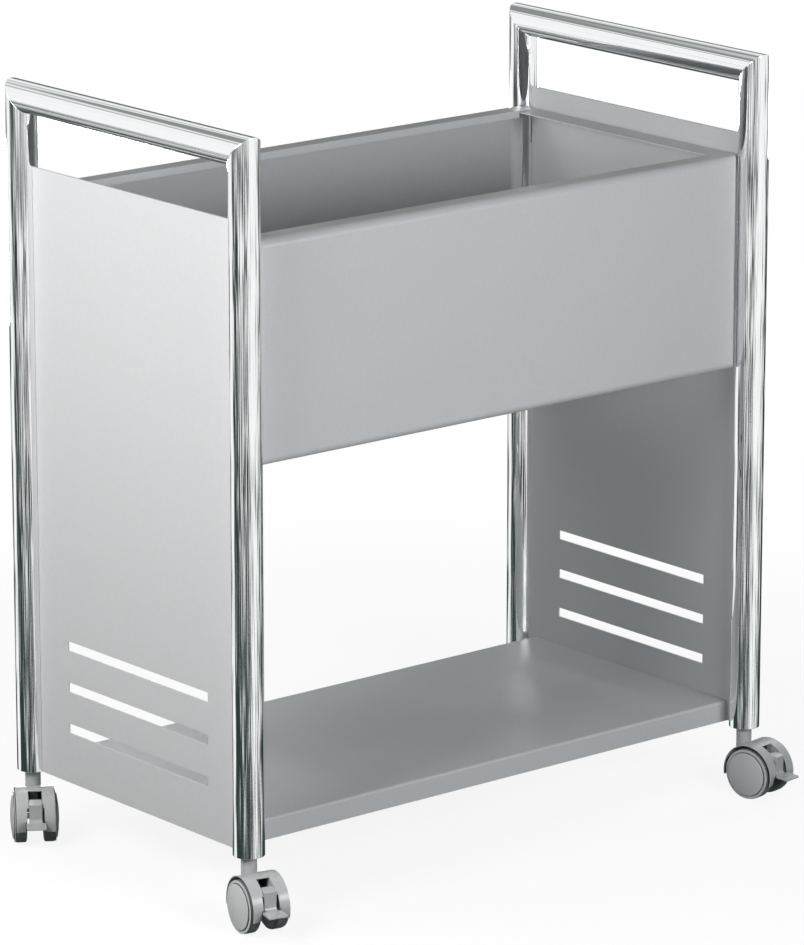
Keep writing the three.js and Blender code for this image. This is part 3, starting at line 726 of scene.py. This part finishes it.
def makeCap(corner, hand, hub, place):
    c = cap
    line = [(0, c["seat"]), (c["rim"] - c["seatEdge"], c["seat"]), (c["rim"], c["seat"] + c["seatEdge"])]
    line += [(c["rim"] - inward, c["rimTop"] - back) for inward, back in c["rimEdge"]]
    line += [(c["groove"], c["rimTop"]), (c["groove"], c["floor"]), (c["dome"], c["floor"])]
    line += [(c["dome"] - inward, c["step"] - back) for inward, back in c["domeEdge"]]
    face, swell = line[-1][0], c["crown"] - c["step"]
    for i in range(1, c["crownSteps"]):
        share = 1 - i / c["crownSteps"]
        line.append((face * share, c["crown"] - swell * share ** 2))
    bm = bmesh.new()
    spinProfile(bm, line + [(0, c["crown"])], hub, c["around"])
    tidyMesh(bm)
    # the groove's faces take the dark tread finish as painted shade for the deep groove round the dome
    for f in bm.faces:  # the groove round the dome is dark
        spot = f.calc_center_median() / mm - Vector(hub)
        out = math.hypot(spot.x, spot.z)
        if c["dome"] - c["near"] < out < c["groove"] - c["near"] and spot.y > c["floor"] - c["near"]:
            f.material_index = 1
    piece = finishPiece(f"{corner}_dome_{hand}", bm, finishes["cap_plastic"], f"{corner}_roller_{hand}",
                        place=place, rounding=c["rounding"], roundAngle=50)
    # second slot: the dark tread finish, used as painted shade in the groove
    piece.data.materials.append(finishes["wheel_plastic"])
    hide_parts(f"{corner}_cap_{hand}")


hub = (caster["trail"], 0, caster["axle"])
middle = at(caster["trail"], 0, 0)
across = Matrix.Translation(middle) @ Matrix.Rotation(math.pi, 4, "Z") @ Matrix.Translation(-middle)
pinFinish = {"socket": "socket_plastic", "stem": "steel_pin", "axle": "steel_pin", "brake_pin": "steel_pin"}
for corner, where in corners.items():
    place = Matrix.Translation(at(where["x"] * cart["postX"], where["y"] * cart["postY"], 0))
    place = place @ Matrix.Rotation(math.radians(where["heading"]), 4, "Z")
    makeHousing(corner, place)
    makeLever(corner, place)
    for hand, turned in (("a", place), ("b", place @ across)):
        makeTyre(corner, hand, hub, turned)
        makeCap(corner, hand, hub, turned)
    for node, finish in pinFinish.items():
        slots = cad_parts[f"{corner}_{node}"].data.materials
        slots.clear()
        slots.append(finishes[finish])
print("casters made")

# camera at the photograph's viewing angle
camera = {"azimuth": -39.652, "elevation": 14.870, "distance": 5.8241, "target": (0.00043, -0.01463, 0.37023),
          "lens": 216.05, "sensor": 36, "clip": (0.05, 100)}
azimuth, elevation = math.radians(camera["azimuth"]), math.radians(camera["elevation"])
level = math.cos(elevation)
toCamera = Vector((math.sin(azimuth) * level, -math.cos(azimuth) * level, math.sin(elevation)))
lens = bpy.data.cameras.new("photoCamera")
lens.lens, lens.sensor_width = camera["lens"], camera["sensor"]
lens.clip_start, lens.clip_end = camera["clip"]
viewer = bpy.data.objects.new("photoCamera", lens)
viewer.location = Vector(camera["target"]) + toCamera * camera["distance"]
viewer.rotation_mode = "QUATERNION"
viewer.rotation_quaternion = (-toCamera).to_track_quat("-Z", "Y")
bpy.context.scene.collection.objects.link(viewer)
bpy.context.scene.camera = viewer
bpy.context.scene.view_settings.view_transform = "Standard"

# softboxes: place and aim in metres, size, watts and tint
plain, warm, cool = (1, 1, 1), (1.0, 0.972, 0.955), (0.985, 0.993, 1.0)
lamps = {
    "leftSoftbox": ((-1.4, -0.22, 1.0), (-0.33, -0.05, 0.68), (0.6, 0.6), 16.9, warm),
    "leftBackSoftbox": ((-1.2, 0.45, 1.15), (-0.33, -0.12, 0.70), (0.5, 0.5), 5.5, warm),
    "frontSoftbox": ((-0.10, -1.75, 0.90), (-0.08, -0.18, 0.76), (0.8, 0.5), 21.2, cool),
    "backSoftbox": ((0.5, 2.0, 0.2), (0.0, 0.18, 0.3), (1.4, 0.25), 24, plain),
    "rightSoftbox": ((2.0, 0.45, 0.7), (0.33, 0.0, 0.45), (1.0, 0.8), 16, plain),
}
for name, (place, aim, size, watts, tint) in lamps.items():
    data = bpy.data.lights.new(name, "AREA")
    data.shape, data.size, data.size_y, data.energy = "RECTANGLE", size[0], size[1], watts
    data.color = tint
    lamp = bpy.data.objects.new(name, data)
    lamp.location = place
    lamp.rotation_mode = "QUATERNION"
    lamp.rotation_quaternion = (Vector(aim) - Vector(place)).to_track_quat("-Z", "Y")
    bpy.context.scene.collection.objects.link(lamp)

# soft room: white to the camera, streaks of light and dark for the chrome to show
# streaks are (degrees right of the camera, level) for the rays that the upright tubes send back
# rims are (height of the ray, from 0 straight down to 1 straight up, level) for the level tubes
# middle is the share of the streaks at each height; the rims show where it is 0
room = {
    "streaks": [(-180, 0.24), (-152, 0.24), (-134, 0.42), (-125, 0.80), (-98, 0.85), (-90, 0.32),
                (-62, 0.25), (-40, 0.42), (-24, 0.52), (-8, 0.40), (8, 0.42), (22, 0.50), (34, 0.68),
                (60, 0.80), (76, 0.66), (100, 0.58), (114, 0.5), (126, 0.20), (150, 0.20), (180, 0.24)],
    "rims": [(0.0, 0.55), (0.170, 0.6), (0.178, 0.08), (0.198, 0.06), (0.212, 0.6), (0.750, 1.0),
             (0.764, 0.45), (0.775, 0.45), (0.786, 0.9), (0.797, 0.85), (0.804, 0.26), (0.834, 0.24),
             (0.86, 0.9)],
    "middle": [(0.10, 1.0), (0.14, 0.0), (0.19, 0.0), (0.215, 1.0), (0.62, 1.0), (0.70, 0.0)],
    "across": 17.0, "along": 75.0, "detail": 2.5, "breakup": 0.62, "tilt": 0.46, "split": (0.40, 0.60),
    "lean": 2.4, "level": 0.375, "least": -0.16, "most": 0.03,
    "dark": (0.030, 0.046, 0.042), "bright": (0.98, 0.985, 0.985), "ambient": 0.01,
}
world = bpy.data.worlds.new("studioRoom")
bpy.context.scene.world = world
world.use_nodes = True
sky = world.node_tree
direction = addNode(sky, "ShaderNodeTexCoord").outputs["Generated"]
split = addNode(sky, "ShaderNodeSeparateXYZ")
sky.links.new(direction, split.inputs[0])


def alongWay(way):
    node = addNode(sky, "ShaderNodeVectorMath", operation="DOT_PRODUCT")
    sky.links.new(direction, node.inputs[0])
    node.inputs[1].default_value = way
    return node.outputs["Value"]


def rampOf(value, steps):
    node = addNode(sky, "ShaderNodeValToRGB")
    sky.links.new(value, node.inputs["Fac"])
    points = node.color_ramp.elements
    while len(points) < len(steps):
        points.new(0.5)
    for point, (position, shade) in zip(points, steps):
        point.position, point.color = position, (shade, shade, shade, 1)
    return node.outputs["Color"]


toRight = alongWay((math.cos(azimuth), math.sin(azimuth), 0))
toFront = alongWay((math.sin(azimuth), -math.cos(azimuth), 0))
bearing = mathNode(sky, "ARCTAN2", toRight, toFront)
bands = rampOf(mathNode(sky, "ADD", mathNode(sky, "DIVIDE", bearing, math.tau), 0.5),
               [((degrees + 180) / 360, shade) for degrees, shade in room["streaks"]])
# middling bands break into light and dark flecks, bright and dark ones stay more whole
fleckPlace = addNode(sky, "ShaderNodeCombineXYZ")
halfTurn = mathNode(sky, "SINE", mathNode(sky, "MULTIPLY", bearing, 0.5))
sky.links.new(mathNode(sky, "MULTIPLY", halfTurn, room["across"]), fleckPlace.inputs[0])
sky.links.new(mathNode(sky, "MULTIPLY", split.outputs["Z"], room["along"]), fleckPlace.inputs[1])
fleck = noiseNode(sky, fleckPlace.outputs[0], 1.0, detail=room["detail"], roughness=room["breakup"])
height = mathNode(sky, "ADD", mathNode(sky, "MULTIPLY", split.outputs["Z"], 0.5), 0.5)
tilt = mathNode(sky, "MULTIPLY", mathNode(sky, "SUBTRACT", bands, 0.5), room["tilt"])
# lower rays are darker
lean = mathNode(sky, "MULTIPLY", mathNode(sky, "SUBTRACT", height, room["level"]), room["lean"])
lean = mathNode(sky, "MAXIMUM", mathNode(sky, "MINIMUM", lean, room["most"]), room["least"])
streaked = addNode(sky, "ShaderNodeMapRange", interpolation_type="SMOOTHSTEP")
sky.links.new(mathNode(sky, "ADD", fleck, mathNode(sky, "ADD", tilt, lean)), streaked.inputs["Value"])
streaked.inputs["From Min"].default_value, streaked.inputs["From Max"].default_value = room["split"]
# ceiling rims show above and floor lines below, with the flecks between them
rims, flecks = rampOf(height, room["rims"]), streaked.outputs["Result"]
shade = mixColour(sky, rampOf(height, room["middle"]), rims, flecks)
shown = mixColour(sky, shade, room["dark"], room["bright"])
rays = addNode(sky, "ShaderNodeLightPath").outputs
soft = mixColour(sky, rays["Is Glossy Ray"], (room["ambient"],) * 3, shown)
clear = mathNode(sky, "MAXIMUM", rays["Is Camera Ray"], rays["Is Transmission Ray"])
sky.links.new(mixColour(sky, clear, soft, (1, 1, 1)), sky.nodes["Background"].inputs["Color"])

# pale floor: it keeps the shadow near the cart and fades to white further out
floorLook = {"radius": 3.0, "sides": 96, "white": 0.95, "bounce": 0.28, "glow": 0.88, "fade": (0.55, 1.5)}
bm = bmesh.new()
bmesh.ops.create_circle(bm, cap_ends=True, segments=floorLook["sides"], radius=floorLook["radius"])
mesh = bpy.data.meshes.new("studioFloor")
bm.to_mesh(mesh)
bm.free()
floor = bpy.data.objects.new("studioFloor", mesh)
bpy.context.scene.collection.objects.link(floor)
paper = bpy.data.materials.new("paleFloor")
paper.use_nodes = True
tree = paper.node_tree
tree.nodes.remove(tree.nodes["Principled BSDF"])
matte = addNode(tree, "ShaderNodeBsdfDiffuse")
glow = addNode(tree, "ShaderNodeEmission")
floorRays = addNode(tree, "ShaderNodeLightPath").outputs
seen = mathNode(tree, "MAXIMUM", floorRays["Is Camera Ray"], floorRays["Is Glossy Ray"])
tone = mixColour(tree, seen, (floorLook["bounce"],) * 3, (floorLook["white"],) * 3)
tree.links.new(tone, matte.inputs["Color"])
far = addNode(tree, "ShaderNodeVectorMath", operation="LENGTH")
tree.links.new(addNode(tree, "ShaderNodeTexCoord").outputs["Object"], far.inputs[0])
fade = addNode(tree, "ShaderNodeMapRange", interpolation_type="SMOOTHSTEP")
tree.links.new(far.outputs["Value"], fade.inputs["Value"])
fade.inputs["From Min"].default_value, fade.inputs["From Max"].default_value = floorLook["fade"]
fade.inputs["To Min"].default_value, fade.inputs["To Max"].default_value = floorLook["glow"], 1.0
mixer = addNode(tree, "ShaderNodeMixShader")
tree.links.new(mathNode(tree, "MULTIPLY", seen, fade.outputs["Result"]), mixer.inputs["Fac"])
tree.links.new(matte.outputs[0], mixer.inputs[1])
tree.links.new(glow.outputs[0], mixer.inputs[2])
tree.links.new(mixer.outputs[0], tree.nodes["Material Output"].inputs["Surface"])
floor.data.materials.append(paper)
floor.visible_glossy = False
print("camera, light and floor made")
